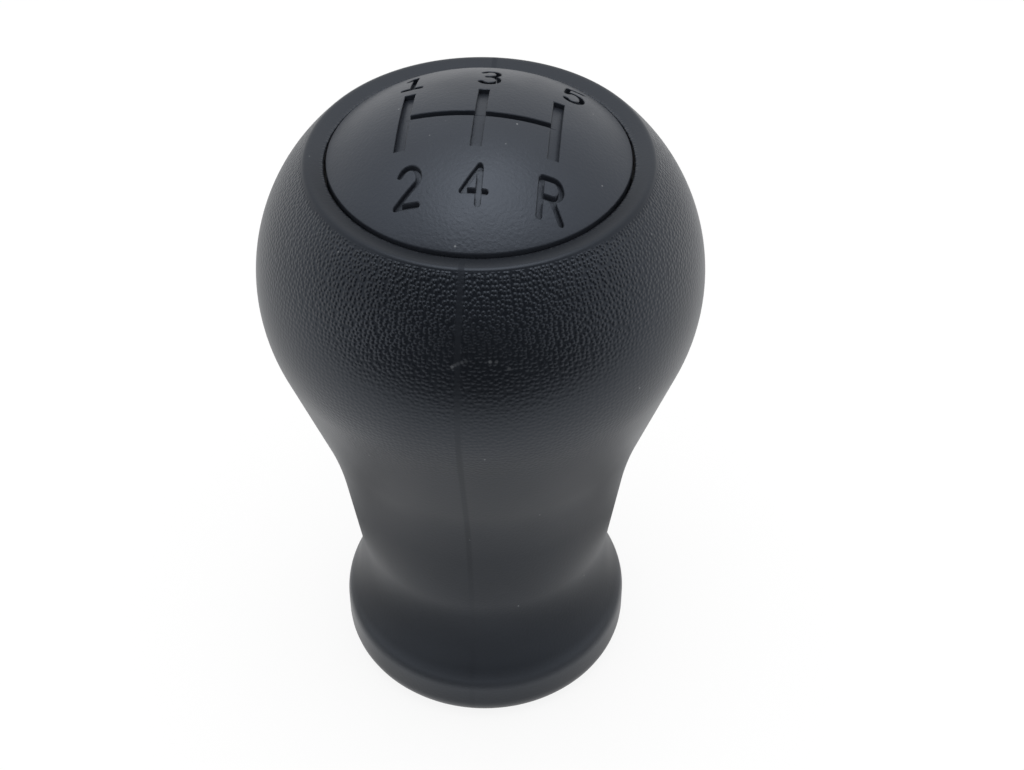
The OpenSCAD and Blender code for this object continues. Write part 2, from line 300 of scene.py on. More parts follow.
def leave_edit_mode():
    """Back to object mode with nothing selected."""
    if bpy.context.object and bpy.context.object.mode != "OBJECT":
        bpy.ops.object.mode_set(mode="OBJECT")
    bpy.ops.object.select_all(action="DESELECT")


def take(obj):
    """Makes obj the only selected object and the active one."""
    leave_edit_mode()
    obj.select_set(True)
    bpy.context.view_layer.objects.active = obj


def loop_object(name, points):
    """A closed loop of edges through the points, started from a circle."""
    leave_edit_mode()
    bpy.ops.mesh.primitive_circle_add(vertices=len(points), radius=HEAD_R)
    obj = bpy.context.object
    obj.name = name
    for vertex, point in zip(obj.data.vertices, points):
        vertex.co = point
    return obj


def outline_loop(name, outline):
    """A half section through the axis on the driver's side, from its (radius, height) points."""
    return loop_object(name, [(0, -r, z) for r, z in outline])


def spin_round(obj, sectors):
    """Spins the section round the axis in sectors of (angle, steps) and closes it."""
    take(obj)
    bpy.ops.object.mode_set(mode="EDIT")
    bpy.ops.mesh.select_all(action="SELECT")
    for turn, steps in sectors:
        bpy.ops.mesh.spin(steps=steps, angle=turn, center=(0, 0, 0), axis=(0, 0, 1))
    bpy.ops.mesh.select_all(action="SELECT")
    bpy.ops.mesh.remove_doubles(threshold=MERGE_DISTANCE)
    bpy.ops.mesh.delete_loose(use_verts=True, use_edges=True, use_faces=False)
    bpy.ops.mesh.select_all(action="SELECT")
    bpy.ops.mesh.normals_make_consistent(inside=False)
    bpy.ops.object.mode_set(mode="OBJECT")


def smooth(obj, limit):
    """Smooth shading with edges sharper than limit left crisp."""
    take(obj)
    bpy.ops.object.shade_smooth_by_angle(angle=limit)


def arc(centre_r, centre_z, radius, start, end, steps):
    """Points on a circle from one angle to another in a number of steps, with both ends."""
    points = []
    for i in range(steps + 1):
        turn = start + (end - start) * i / steps
        points.append((centre_r + radius * math.cos(turn), centre_z + radius * math.sin(turn)))
    return points


def tidy_outline(points):
    """The points without neighbours that coincide."""
    kept = []
    for point in points:
        if not kept or math.dist(point, kept[-1]) > SAME_POINT:
            kept.append(point)
    return kept


def grip_outline(grip, cap):
    """Half section of the grip, from the hollow's lower edge round the outside and back inside."""
    head_cr = HEAD_R - grip.head_arc
    under_r = head_cr + grip.head_arc * math.cos(grip.under_angle)
    under_z = grip.head_z - grip.head_arc * math.sin(grip.under_angle)
    throat_r = under_r - (under_z - grip.throat_z) * math.tan(grip.under_angle)
    middle = (grip.neck_angle + grip.under_angle) / 2
    throat_reach = grip.throat_arc / math.cos((grip.under_angle - grip.neck_angle) / 2)
    throat_cr = throat_r + throat_reach * math.cos(middle)
    throat_cz = grip.throat_z - throat_reach * math.sin(middle)

    taper_z = grip.neck_z + grip.flare_arc * math.sin(grip.neck_angle)
    taper_r = throat_r - (grip.throat_z - taper_z) * math.tan(grip.neck_angle)
    flare_cr = taper_r + grip.flare_arc * math.cos(grip.neck_angle)
    foot_r = flare_cr - grip.flare_arc + grip.foot_flare
    low = grip.foot_low_round
    edge_cr = foot_r - grip.foot_top_round
    reach = grip.flare_arc + grip.foot_top_round
    edge_cz = grip.neck_z - math.sqrt(reach**2 - (flare_cr - edge_cr) ** 2)
    edge_turn = math.atan2(grip.neck_z - edge_cz, flare_cr - edge_cr)

    ring_cz = RING_Z - grip.ring_round
    ring_out = math.sqrt((grip.head_arc - grip.ring_round) ** 2 - (ring_cz - grip.head_z) ** 2)
    ring_turn = math.atan2(ring_cz - grip.head_z, ring_out)
    recess_r = CAP_R + cap.gap
    lip = grip.ring_lip
    hollow_r = foot_r - grip.foot_wall
    shoe_r = hollow_r + grip.shoe_wall
    rim_low = CAP_SEAT_Z - cap.rim_t
    cup_r = recess_r - cap.rim_t
    cup_low = CAP_SEAT_Z - grip.cup_h

    flare_end = math.pi - grip.neck_angle
    throat_end = math.pi - grip.under_angle
    points = [(hollow_r, 0)]
    points += arc(foot_r - low, low, low, -QUARTER, 0, 10)
    points += arc(edge_cr, edge_cz, grip.foot_top_round, 0, edge_turn, 6)
    points += arc(flare_cr, grip.neck_z, grip.flare_arc, math.pi + edge_turn, flare_end, 18)
    points += arc(throat_cr, throat_cz, grip.throat_arc, flare_end, throat_end, 14)
    points += arc(head_cr, grip.head_z, grip.head_arc, -grip.under_angle, ring_turn, 44)
    points += arc(head_cr + ring_out, ring_cz, grip.ring_round, ring_turn, QUARTER, 6)
    points += [(head_cr + ring_out - grip.ring_flat, RING_Z)]
    points += arc(recess_r + lip, RING_Z - grip.ring_fall - lip / 2, lip, QUARTER, math.pi, 5)
    points += [(recess_r, rim_low), (cup_r, rim_low), (cup_r, cup_low)]
    points += [(TUBE_R, cup_low), (TUBE_R, grip.plate_z), (shoe_r, grip.plate_z)]
    points += [(shoe_r, grip.shoe_low), (hollow_r, grip.shoe_low)]
    return tidy_outline(points)


def sink_seam(obj, grip):
    """Sinks the mould line at the front and the back into the grip's outer skin."""
    low = grip.foot_low_round
    high = RING_Z - grip.ring_round
    take(obj)
    bpy.ops.object.mode_set(mode="EDIT")
    bpy.ops.mesh.select_all(action="DESELECT")
    bpy.ops.object.mode_set(mode="OBJECT")
    for vertex in obj.data.vertices:
        outer = vertex.normal.xy.dot(vertex.co.xy) > 0
        vertex.select = abs(vertex.co.x) < ON_LINE and outer and low < vertex.co.z < high
    bpy.ops.object.mode_set(mode="EDIT")
    bpy.ops.transform.shrink_fatten(value=-grip.seam_depth)
    bpy.ops.object.mode_set(mode="OBJECT")


def dome_shape(cap):
    """Radius of the cap's dome and the height of its centre."""
    fall = bpy.context.scene.knob_grip.ring_fall
    rise = CAP_APEX_Z - RING_Z + fall - cap.edge_h
    radius = (CAP_R**2 + rise**2) / (2 * rise)
    return radius, CAP_APEX_Z - radius


def cap_outline(cap):
    """Half section of the cap: dome, rounded corner, edge wall and the hollow underneath."""
    radius, centre_z = dome_shape(cap)
    corner_r = CAP_R - cap.corner
    corner_z = centre_z + math.sqrt((radius - cap.corner) ** 2 - corner_r**2)
    corner_turn = math.atan2(corner_z - centre_z, corner_r)
    inner = radius - cap.wall
    inner_r = CAP_R + cap.gap - cap.rim_t
    inner_turn = math.acos(inner_r / inner)
    points = arc(0, centre_z, radius, QUARTER, corner_turn, 40)
    points += arc(corner_r, corner_z, cap.corner, corner_turn, 0, 5)
    points += [(CAP_R, CAP_SEAT_Z), (inner_r, CAP_SEAT_Z)]
    points += arc(0, centre_z, inner, inner_turn, QUARTER, 16)
    return tidy_outline([(max(r, 0), z) for r, z in points])


def stroke_loop(path, half):
    """Outline of a stroke of the given half width round a path, with round ends."""
    left = []
    right = []
    for i, (x, y) in enumerate(path):
        before = path[max(i - 1, 0)]
        after = path[min(i + 1, len(path) - 1)]
        along = Vector((after[0] - before[0], after[1] - before[1])).normalized()
        left.append((x - along.y * half, y + along.x * half))
        right.append((x + along.y * half, y - along.x * half))
    end_steps = 8
    first = math.atan2(left[0][1] - path[0][1], left[0][0] - path[0][0])
    last = math.atan2(right[-1][1] - path[-1][1], right[-1][0] - path[-1][0])
    start_cap = arc(path[0][0], path[0][1], half, first + math.pi, first, end_steps)[1:-1]
    end_cap = arc(path[-1][0], path[-1][1], half, last + math.pi, last, end_steps)[1:-1]
    return start_cap + left + end_cap + right[::-1]


def box_loop(x, y, width, height, grow):
    """Outline of a straight slot with square ends, with points along its long sides."""
    half_w = width / 2 + grow
    half_h = height / 2 + grow
    steps = 14
    across = [x - half_w + 2 * half_w * i / steps for i in range(steps)]
    upward = [y - half_h + 2 * half_h * i / steps for i in range(steps)]
    loop = [(u, y - half_h) for u in across]
    loop += [(x + half_w, v) for v in upward]
    loop += [(2 * x - u, y + half_h) for u in across]
    loop += [(x - half_w, 2 * y - v) for v in upward]
    return loop


def cutter_grows(cap):
    """How far a cutter's outline grows at its floor, at its bevel and above the dome."""
    return 0, 0, (PROUD + 1) * cap.bevel


def bevelled_cutter(name, loops, cap, sink):
    """A cutter whose walls run straight down from a small bevel at the dome's surface."""
    radius, centre_z = dome_shape(cap)
    heights = (-sink, -cap.bevel, PROUD * cap.bevel)
    parts = []
    for loop, height in zip(loops, heights):
        points = []
        for x, y in loop:
            points.append((x, y, centre_z + math.sqrt((radius + height) ** 2 - x * x - y * y)))
        parts.append(loop_object(name, points))
    take(parts[0])
    for part in parts:
        part.select_set(True)
    bpy.ops.object.join()
    cutter = parts[0]
    count = len(loops[0])
    bpy.ops.object.mode_set(mode="EDIT")
    bpy.ops.mesh.select_all(action="SELECT")
    bpy.ops.mesh.bridge_edge_loops()
    for first in (0, 2 * count):
        bpy.ops.mesh.select_all(action="DESELECT")
        bpy.ops.object.mode_set(mode="OBJECT")
        for vertex in cutter.data.vertices:
            vertex.select = first <= vertex.index < first + count
        bpy.ops.object.mode_set(mode="EDIT")
        bpy.ops.mesh.edge_face_add()
    bpy.ops.mesh.select_all(action="SELECT")
    bpy.ops.mesh.quads_convert_to_tris()
    bpy.ops.mesh.normals_make_consistent(inside=False)
    bpy.ops.object.mode_set(mode="OBJECT")
    return cutter


def cut(target, cutter):
    """Takes the cutter's form out of the target."""
    take(target)
    modifier = target.modifiers.new("sunk", "BOOLEAN")
    modifier.object = cutter
    modifier.operation = "DIFFERENCE"
    modifier.solver = "EXACT"
    bpy.ops.object.modifier_apply(modifier="sunk")
    bpy.data.objects.remove(cutter)


def bow(x, y, half_w, half_h, start, end):
    """A bowed stroke: part of an ellipse, angles in degrees."""
    steps = 14
    path = []
    for i in range(steps + 1):
        turn = math.radians(start + (end - start) * i / steps)
        path.append((x + half_w * math.cos(turn), y + half_h * math.sin(turn)))
    return path


def number_strokes(sign):
    """Strokes of one number or of R, in a box one unit wide and high, centred on x."""
    strokes = {
        "1": [[(-0.26, 0.77), (-0.02, 0.98)], [(0.03, 1), (0.03, 0.04)], [(-0.36, 0), (0.42, 0)]],
        "2": [bow(0, 0.7, 0.42, 0.3, 160, -25) + [(-0.4, 0.03)], [(-0.44, 0), (0.46, 0)]],
        "3": [bow(-0.02, 0.76, 0.36, 0.24, 150, -90), bow(-0.02, 0.26, 0.42, 0.26, 105, -150)],
        "4": [[(0.17, 1), (-0.46, 0.34)], [(-0.5, 0.3), (0.5, 0.3)], [(0.2, 0.94), (0.2, 0)]],
        "5": [
            [(0.36, 1), (-0.28, 1)],
            [(-0.3, 0.96), (-0.35, 0.57)],
            bow(-0.02, 0.32, 0.4, 0.32, 142, -145),
        ],
        "R": [
            [(-0.46, 0), (-0.46, 0.97)],
            [(-0.42, 1), (0.02, 1)]
            + bow(0.02, 0.75, 0.38, 0.25, 80, -80)
            + [(0.02, 0.5), (-0.41, 0.5)],
            [(0.04, 0.47), (0.48, 0)],
        ],
    }
    return strokes[sign]


def fine_path(path, step):
    """The path with points no further apart than step."""
    points = [path[0]]
    for (x0, y0), (x1, y1) in zip(path, path[1:]):
        pieces = max(1, math.ceil(math.dist((x0, y0), (x1, y1)) / step))
        for i in range(1, pieces + 1):
            share = i / pieces
            points.append((x0 + (x1 - x0) * share, y0 + (y1 - y0) * share))
    return points


def sink_number(target, sign, x, y, cap):
    """Sinks one number into the cap, centred at x, y."""
    half = cap.stroke_w / 2
    wide = cap.digit_w - 2 * half
    high = cap.digit_h - 2 * half
    for count, path in enumerate(number_strokes(sign)):
        placed = [(x + u * wide, y + (v - 0.5) * high) for u, v in path]
        placed = fine_path(placed, STROKE_STEP)
        loops = [stroke_loop(placed, half + grow) for grow in cutter_grows(cap)]
        cut(target, bevelled_cutter("stroke_" + sign, loops, cap, cap.sink + count * FLOOR_STEP))


def sink_gate(target, cap):
    """Sinks the gate: three slots and the cross slot that joins them."""
    run = 2 * cap.slot_pitch
    grows = cutter_grows(cap)
    loops = [box_loop(cap.gate_side, -cap.gate_front, run, cap.cross_w, grow) for grow in grows]
    cut(target, bevelled_cutter("cross_slot", loops, cap, cap.sink + FLOOR_STEP))
    for side in (-1, 0, 1):
        x = cap.gate_side + side * cap.slot_pitch
        loops = [box_loop(x, -cap.gate_front, cap.slot_w, cap.slot_len, grow) for grow in grows]
        cut(target, bevelled_cutter("gate_slot", loops, cap, cap.sink))


def group_socket(group, name, kind, way, default=None):
    """Adds a socket to a node group's face."""
    socket = group.interface.new_socket(name=name, in_out=way, socket_type=kind)
    if default is not None:
        socket.default_value = default


def wire(tree, source, target):
    """Links two sockets."""
    tree.links.new(source, target)


def math_node(tree, operation, *values):
    """A Math node whose inputs are numbers or sockets."""
    node = tree.nodes.new("ShaderNodeMath")
    node.operation = operation
    for socket, value in zip(node.inputs, values):
        if isinstance(value, (int, float)):
            socket.default_value = value
        else:
            wire(tree, value, socket)
    return node.outputs[0]


def product(tree, *values):
    """The product of several numbers or sockets."""
    result = values[0]
    for value in values[1:]:
        result = math_node(tree, "MULTIPLY", result, value)
    return result


def rest_of(tree, value):
    """What the value leaves of 1."""
    return math_node(tree, "SUBTRACT", 1, value)


def ramp_node(tree, value, low, high, out_low=0.0, out_high=1.0):
    """A smooth ramp of a value from low..high to out_low..out_high."""
    node = tree.nodes.new("ShaderNodeMapRange")
    node.interpolation_type = "SMOOTHSTEP"
    node.inputs["From Min"].default_value = low
    node.inputs["From Max"].default_value = high
    node.inputs["To Min"].default_value = out_low
    node.inputs["To Max"].default_value = out_high
    wire(tree, value, node.inputs["Value"])
    return node.outputs["Result"]


def fade(tree, value, span, out_low=0.0, out_high=1.0, start=0.0):
    """A smooth ramp over a span that is given in mm from start."""
    low, high = (start + edge * MM for edge in span)
    return ramp_node(tree, value, low, high, out_low, out_high)


def noise_node(tree, vector, scale, detail):
    """A Noise texture."""
    node = tree.nodes.new("ShaderNodeTexNoise")
    node.inputs["Scale"].default_value = scale
    node.inputs["Detail"].default_value = detail
    wire(tree, vector, node.inputs["Vector"])
    return node.outputs["Fac"]


def from_axis(tree, x, y):
    """Distance from the knob's axis."""
    squares = math_node(tree, "ADD", product(tree, x, x), product(tree, y, y))
    return math_node(tree, "SQRT", squares)


def pebble_group():
    """Leather grain on the unrolled head, pebbles with fine valleys, as a height from 0 to 1."""
    group = bpy.data.node_groups.new("pebble grain", "ShaderNodeTree")
    group_socket(group, "Vector", "NodeSocketVector", "INPUT")
    group_socket(group, "Scale", "NodeSocketFloat", "INPUT", 1000.0)
    group_socket(group, "Amount", "NodeSocketFloat", "INPUT", 1.0)
    group_socket(group, "Head height", "NodeSocketFloat", "INPUT", 0.06)
    group_socket(group, "Arc centre", "NodeSocketFloat", "INPUT", 0.002)
    group_socket(group, "Arc", "NodeSocketFloat", "INPUT", 0.023)
    group_socket(group, "Height", "NodeSocketFloat", "OUTPUT")
    enter = group.nodes.new("NodeGroupInput")
    leave = group.nodes.new("NodeGroupOutput")
    split = group.nodes.new("ShaderNodeSeparateXYZ")
    wire(group, enter.outputs["Vector"], split.inputs["Vector"])
    x, y, z = (split.outputs[axis] for axis in "XYZ")
    away = from_axis(group, x, y)
    rise = math_node(group, "SUBTRACT", z, enter.outputs["Head height"])
    reach = math_node(group, "SUBTRACT", away, enter.outputs["Arc centre"])
    along = product(group, math_node(group, "ARCTAN2", rise, reach), enter.outputs["Arc"])
    turn = math_node(group, "ARCTAN2", x, product(group, y, -1))
    round_it = product(group, turn, enter.outputs["Arc"])
    unrolled = group.nodes.new("ShaderNodeCombineXYZ")
    wire(group, round_it, unrolled.inputs["X"])
    wire(group, along, unrolled.inputs["Y"])
    cells = group.nodes.new("ShaderNodeTexVoronoi")
    cells.voronoi_dimensions = "2D"
    cells.feature = "SMOOTH_F1"
    cells.inputs["Smoothness"].default_value = 0.12
    cells.inputs["Randomness"].default_value = 0.7
    wire(group, unrolled.outputs["Vector"], cells.inputs["Vector"])
    wire(group, enter.outputs["Scale"], cells.inputs["Scale"])
    pebble = ramp_node(group, cells.outputs["Distance"], *PEBBLE_SPAN, 1.0, 0.0)
    wire(group, product(group, pebble, enter.outputs["Amount"]), leave.inputs["Height"])
    return group


def dust_group():
    """Sparse pale specks of dust, as a mask from 0 to 1."""
    group = bpy.data.node_groups.new("dust specks", "ShaderNodeTree")
    group_socket(group, "Vector", "NodeSocketVector", "INPUT")
    group_socket(group, "Spacing", "NodeSocketFloat", "INPUT", 200.0)
    group_socket(group, "Share", "NodeSocketFloat", "INPUT", 0.2)
    group_socket(group, "Mask", "NodeSocketFloat", "OUTPUT")
    enter = group.nodes.new("NodeGroupInput")
    leave = group.nodes.new("NodeGroupOutput")
    cells = group.nodes.new("ShaderNodeTexVoronoi")
    cells.inputs["Randomness"].default_value = 1.0
    wire(group, enter.outputs["Vector"], cells.inputs["Vector"])
    wire(group, enter.outputs["Spacing"], cells.inputs["Scale"])
    spot = ramp_node(group, cells.outputs["Distance"], *SPECK_SPAN, 1.0, 0.0)
    split = group.nodes.new("ShaderNodeSeparateColor")
    wire(group, cells.outputs["Color"], split.inputs["Color"])
    chosen = math_node(group, "LESS_THAN", split.outputs["Red"], enter.outputs["Share"])
    wire(group, product(group, spot, chosen), leave.inputs["Mask"])
    return group


def shared_group(name, maker):
    """The node group of that name, made on first use."""
    return bpy.data.node_groups.get(name) or maker()


def place_group(tree, name, maker, vector, **values):
    """Puts a shared group into a material and sets its values."""
    node = tree.nodes.new("ShaderNodeGroup")
    node.node_tree = shared_group(name, maker)
    wire(tree, vector, node.inputs["Vector"])
    for key, value in values.items():
        if isinstance(value, (int, float)):
            node.inputs[key].default_value = value
        else:
            wire(tree, value, node.inputs[key])
    return node.outputs[0]


def node_of(tree, kind):
    """The tree's first node of that kind."""
    return next(n for n in tree.nodes if n.type == kind)


def new_material(name):
    """A material with its tree and its Principled shader."""
    material = bpy.data.materials.new(name)
    material.use_nodes = True
    return material, material.node_tree, node_of(material.node_tree, "BSDF_PRINCIPLED")


def object_place(tree):
    """The Object coordinates."""
    return tree.nodes.new("ShaderNodeTexCoord").outputs["Object"]


def scuff_mask(tree, place):
    """The small scuffs on the front of the head, as a mask."""
    mask = 0.0
    for middle, strength in SCUFFS:
        apart = tree.nodes.new("ShaderNodeVectorMath")
        apart.operation = "DISTANCE"
        apart.inputs[1].default_value = [value * MM for value in middle]
        wire(tree, place, apart.inputs[0])
        spot = fade(tree, apart.outputs["Value"], SCUFF_R, strength, 0.0)
        mask = math_node(tree, "MAXIMUM", mask, spot)
    return mask


def mottle(tree, place, noise, span):
    """A value that a noise moves to and fro over the span."""
    return ramp_node(tree, noise_node(tree, place, *noise), *NOISE_SPAN, *span)


def cloudy_tint(tree, tint, cloud):
    """A colour made lighter and darker by the cloud."""
    base = tree.nodes.new("ShaderNodeVectorMath")
    base.operation = "SCALE"
    base.inputs[0].default_value = tint
    wire(tree, cloud, base.inputs["Scale"])
    return base.outputs["Vector"]


def tint_with_dust(tree, shader, place, tint, share, marks=0.0):
    """Base colour with faint clouds, sparse dust specks and marks."""
    cloud = mottle(tree, place, BLACK_CLOUD, BLACK_CLOUDS)
    base = cloudy_tint(tree, tint, cloud)
    values = {"Spacing": DUST_SPACING, "Share": share}
    specks = place_group(tree, "dust specks", dust_group, place, **values)
    mix = tree.nodes.new("ShaderNodeMix")
    mix.data_type = "RGBA"
    mix.inputs["B"].default_value = DUST_TINT
    wire(tree, math_node(tree, "MAXIMUM", specks, marks), mix.inputs["Factor"])
    wire(tree, base, mix.inputs["A"])
    wire(tree, mix.outputs["Result"], shader.inputs["Base Color"])


def bump_node(tree, height, distance, normal=None):
    """A Bump node of the given depth in metres."""
    node = tree.nodes.new("ShaderNodeBump")
    node.inputs["Distance"].default_value = distance
    wire(tree, height, node.inputs["Height"])
    if normal is not None:
        wire(tree, normal, node.inputs["Normal"])
    return node.outputs["Normal"]


def fine_grain(tree, place, noise, depth):
    """The normal of a fine even grain."""
    return bump_node(tree, noise_node(tree, place, *noise), depth)


def grip_gloss(tree, split, from_seam):
    """Specular level of the grip: low on the mould line, painted shade on the front of the ring
    and the head and on the foot's wall, and a painted highlight at the foot's edge.
    """
    x, y, z = (split.outputs[axis] for axis in "XYZ")
    line = fade(tree, from_seam, SEAM_X, SEAM_LOSS, 0.0)
    line = product(tree, line, fade(tree, z, SEAM_END_Z, 1.0, 0.0), fade(tree, z, NECK_Z))
    # Painted highlight on the foot's edge, painted shade above it and on the foot's wall, set by
    # height
    foot = fade(tree, z, FOOT_EDGE_Z, *FOOT_EDGE_HIGHLIGHT)
    foot = product(tree, foot, fade(tree, z, FOOT_WALL_Z, FOOT_WALL_SHADE, 1.0))
    level = math_node(tree, "ADD", foot, fade(tree, z, FLARE_Z, 0.0, FLARE_GAIN))
    on_ring = fade(tree, z, RING_RISE, start=RING_Z)
    # Painted shade: the ring's inner flank loses gloss, at the front only
    ring = fade(tree, from_axis(tree, x, y), RING_SHADE_R, *RING_FRONT_SHADE)
    ring = product(tree, ring, on_ring, fade(tree, y, RING_SHADE_Y, 1.0, 0.0))
    # Painted shade: the head just below the ring loses gloss, at the front only
    brow_shade = fade(tree, z, BROW_SHADE_Z, 0.0, BROW_SHADE)
    brow_shade = product(tree, brow_shade, rest_of(tree, on_ring), fade(tree, y, BROW_SHADE_Y, 1.0, 0.0))
    kept = (rest_of(tree, part) for part in (line, ring, brow_shade))
    return product(tree, *kept, level, GLOSS_LEVEL)


def soft_grip_material(grip):
    """Soft black skin: grained on the head, smooth at the ring, the mould line and the neck."""
    material, tree, shader = new_material("soft grip")
    place = object_place(tree)
    split = tree.nodes.new("ShaderNodeSeparateXYZ")
    wire(tree, place, split.inputs["Vector"])
    z = split.outputs["Z"]
    from_seam = math_node(tree, "ABSOLUTE", split.outputs["X"])
    above_neck = fade(tree, z, GRAIN_Z, LOW_GRAIN)
    amount = product(
        tree,
        fade(tree, from_seam, SEAM_EDGE, SEAM_GRAIN, start=grip.smooth_half),
        above_neck,
        fade(tree, z, GRAIN_END, 1.0, 0.0, start=RING_Z),
        fade(tree, from_seam, SIDE_X, 1.0, SIDE_GRAIN),
        fade(tree, z, HEAD_START_Z),
    )
    values = {
        "Scale": 1 / grip.grain_size,
        "Amount": amount,
        "Head height": grip.head_z,
        "Arc centre": HEAD_R - grip.head_arc,
        "Arc": grip.head_arc,
    }
    grain = place_group(tree, "pebble grain", pebble_group, place, **values)
    satin = fine_grain(tree, place, SKIN_FINE, SKIN_FINE_DEPTH)
    wire(tree, bump_node(tree, grain, grip.grain_depth, satin), shader.inputs["Normal"])
    worn = mottle(tree, place, SKIN_WORN, SKIN_ROUGHNESS)
    dull_seam = fade(tree, from_seam, SEAM_EDGE, SEAM_ROUGHER, 0.0, start=grip.smooth_half)
    dull_seam = product(tree, dull_seam, above_neck)
    wire(tree, math_node(tree, "ADD", worn, dull_seam), shader.inputs["Roughness"])
    wire(tree, grip_gloss(tree, split, from_seam), shader.inputs["Specular IOR Level"])
    tint_with_dust(tree, shader, place, grip.tint, SKIN_DUST, scuff_mask(tree, place))
    shader.inputs["Specular Tint"].default_value = GLOSS_TINT
    shader.inputs["Sheen Weight"].default_value = 0.05
    shader.inputs["Sheen Roughness"].default_value = 0.35
    return material


def cap_material(cap):
    """Satin plastic with a fine even grain."""
    material, tree, shader = new_material("cap plastic")
    place = object_place(tree)
    wire(tree, fine_grain(tree, place, CAP_FINE, CAP_FINE_DEPTH), shader.inputs["Normal"])
    wire(tree, mottle(tree, place, CAP_WORN, CAP_ROUGHNESS), shader.inputs["Roughness"])
    tint_with_dust(tree, shader, place, cap.tint, CAP_DUST)
    shader.inputs["Specular IOR Level"].default_value = GLOSS_LEVEL
    shader.inputs["Specular Tint"].default_value = GLOSS_TINT
    return material


def hard_plastic_material(name, tint, roughness):
    """Plain moulded plastic for the hidden pieces."""
    material, tree, shader = new_material(name)
    place = object_place(tree)
    cloud = mottle(tree, place, PLASTIC_CLOUD, PLASTIC_CLOUDS)
    wire(tree, cloudy_tint(tree, tint, cloud), shader.inputs["Base Color"])
    shader.inputs["Roughness"].default_value = roughness
    fine = fine_grain(tree, place, PLASTIC_FINE, PLASTIC_FINE_DEPTH)
    wire(tree, fine, shader.inputs["Normal"])
    return material


def dress(obj, material):
    """Gives an object one material."""
    obj.data.materials.clear()
    obj.data.materials.append(material)


class KNOB_OT_grip_skin(bpy.types.Operator):
    """Models the soft grip with its mould line"""

    bl_idname = "knob.grip_skin"
    bl_label = "Grip skin"

    def execute(self, context):
        grip = context.scene.knob_grip
        cap = context.scene.knob_cap
        skin = outline_loop("grip_skin", grip_outline(grip, cap))
        seam_turn = math.asin(grip.seam_half / HEAD_R)
        beside = (seam_turn, 1)
        half_way = (math.pi - 2 * seam_turn, SKIN_STEPS)
        spin_round(skin, [beside, half_way, (2 * seam_turn, SEAM_STEPS), half_way, beside])
        sink_seam(skin, grip)
        smooth(skin, SKIN_CRISP)
        dress(skin, soft_grip_material(grip))
        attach(skin, BODY)
        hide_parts("grip_body")
        return {"FINISHED"}


class KNOB_OT_engraved_cap(bpy.types.Operator):
    """Models the cap and sinks the gate and the numbers into it"""

    bl_idname = "knob.engraved_cap"
    bl_label = "Engraved cap"

    def execute(self, context):
        cap = context.scene.knob_cap
        disc = outline_loop("engraved_cap", cap_outline(cap))
        spin_round(disc, [(2 * math.pi, CAP_STEPS)])
        sink_gate(disc, cap)
        for row, numbers in ((cap.far_row, FAR_NUMBERS), (cap.near_row, NEAR_NUMBERS)):
            for sign, x in numbers:
                sink_number(disc, sign, x * MM, row, cap)
        smooth(disc, CAP_CRISP)
        dress(disc, cap_material(cap))
        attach(disc, BODY)
        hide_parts("shift_cap")
        return {"FINISHED"}


class KNOB_OT_inner_parts(bpy.types.Operator):
    """Gives the core and the lever bush their finish"""

    bl_idname = "knob.inner_parts"
    bl_label = "Core and bush"

    def execute(self, context):
        for node, name, tint, roughness in (
            ("core", "core plastic", CORE_TINT, CORE_ROUGHNESS),
            ("lever_bush", "bush plastic", BUSH_TINT, BUSH_ROUGHNESS),
        ):
            dress(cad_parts[node], hard_plastic_material(name, tint, roughness))
        return {"FINISHED"}


def point_at(obj, place, aim):
    """Turns a lamp or a camera that stands at place towards aim."""
    obj.rotation_euler = (Vector(aim) - Vector(place)).to_track_quat("-Z", "Y").to_euler()


def soft_lamp(name, place, aim, size, power):
    """A square area lamp that points at aim."""
    leave_edit_mode()
    bpy.ops.object.light_add(type="AREA", location=place)
    lamp = bpy.context.object
    lamp.name = name
    lamp.data.shape = "SQUARE"
    lamp.data.size = size
    lamp.data.energy = power
    point_at(lamp, place, aim)


def plain_material(name, tint):
    """A matt material of one colour for the stage."""
    material, _, shader = new_material(name)
    shader.inputs["Base Color"].default_value = (*tint, 1)
    shader.inputs["Roughness"].default_value = 0.9
    shader.inputs["Specular IOR Level"].default_value = 0.1
    return material


def seen_ray(tree):
    """1 where the camera sees a surface straight, mirrored or through glass, and 0 otherwise."""
    path = tree.nodes.new("ShaderNodeLightPath")
    seen = math_node(tree, "MAXIMUM", path.outputs["Is Camera Ray"], path.outputs["Is Glossy Ray"])
    return math_node(tree, "MAXIMUM", seen, path.outputs["Is Transmission Ray"])


def floor_material(tint, white):
    """White paper: a share of plain white keeps it pale, and the rest keeps the knob's shadow."""
    material = plain_material("floor", tint)
    tree = material.node_tree
    glow = tree.nodes.new("ShaderNodeEmission")
    mix = tree.nodes.new("ShaderNodeMixShader")
    wire(tree, product(tree, seen_ray(tree), white), mix.inputs["Fac"])
    wire(tree, node_of(tree, "BSDF_PRINCIPLED").outputs["BSDF"], mix.inputs[1])
    wire(tree, glow.outputs["Emission"], mix.inputs[2])
    wire(tree, mix.outputs["Shader"], node_of(tree, "OUTPUT_MATERIAL").inputs["Surface"])
    return material


def paper_world():
    """White surroundings for the camera and in reflections, a plain level of light otherwise."""
    world = bpy.data.worlds.new("paper white")
    world.use_nodes = True
    bpy.context.scene.world = world
    tree = world.node_tree
    background = node_of(tree, "BACKGROUND")
    background.inputs["Color"].default_value = (1, 1, 1, 1)
    level = ramp_node(tree, seen_ray(tree), 0, 1, *WORLD_LEVELS)
    wire(tree, level, background.inputs["Strength"])


def reflection_only(card, tint):
    """Keeps a card out of everything except reflections."""
    card.visible_camera = False
    card.visible_diffuse = False
    card.visible_transmission = False
    card.visible_shadow = False
    dress(card, plain_material(card.name, tint))


def view_axes(stage):
    """Level directions across the view and away from the camera."""
    cos = math.cos(stage.view_turn)
    sin = math.sin(stage.view_turn)
    return Vector((cos, sin, 0)), Vector((-sin, cos, 0))


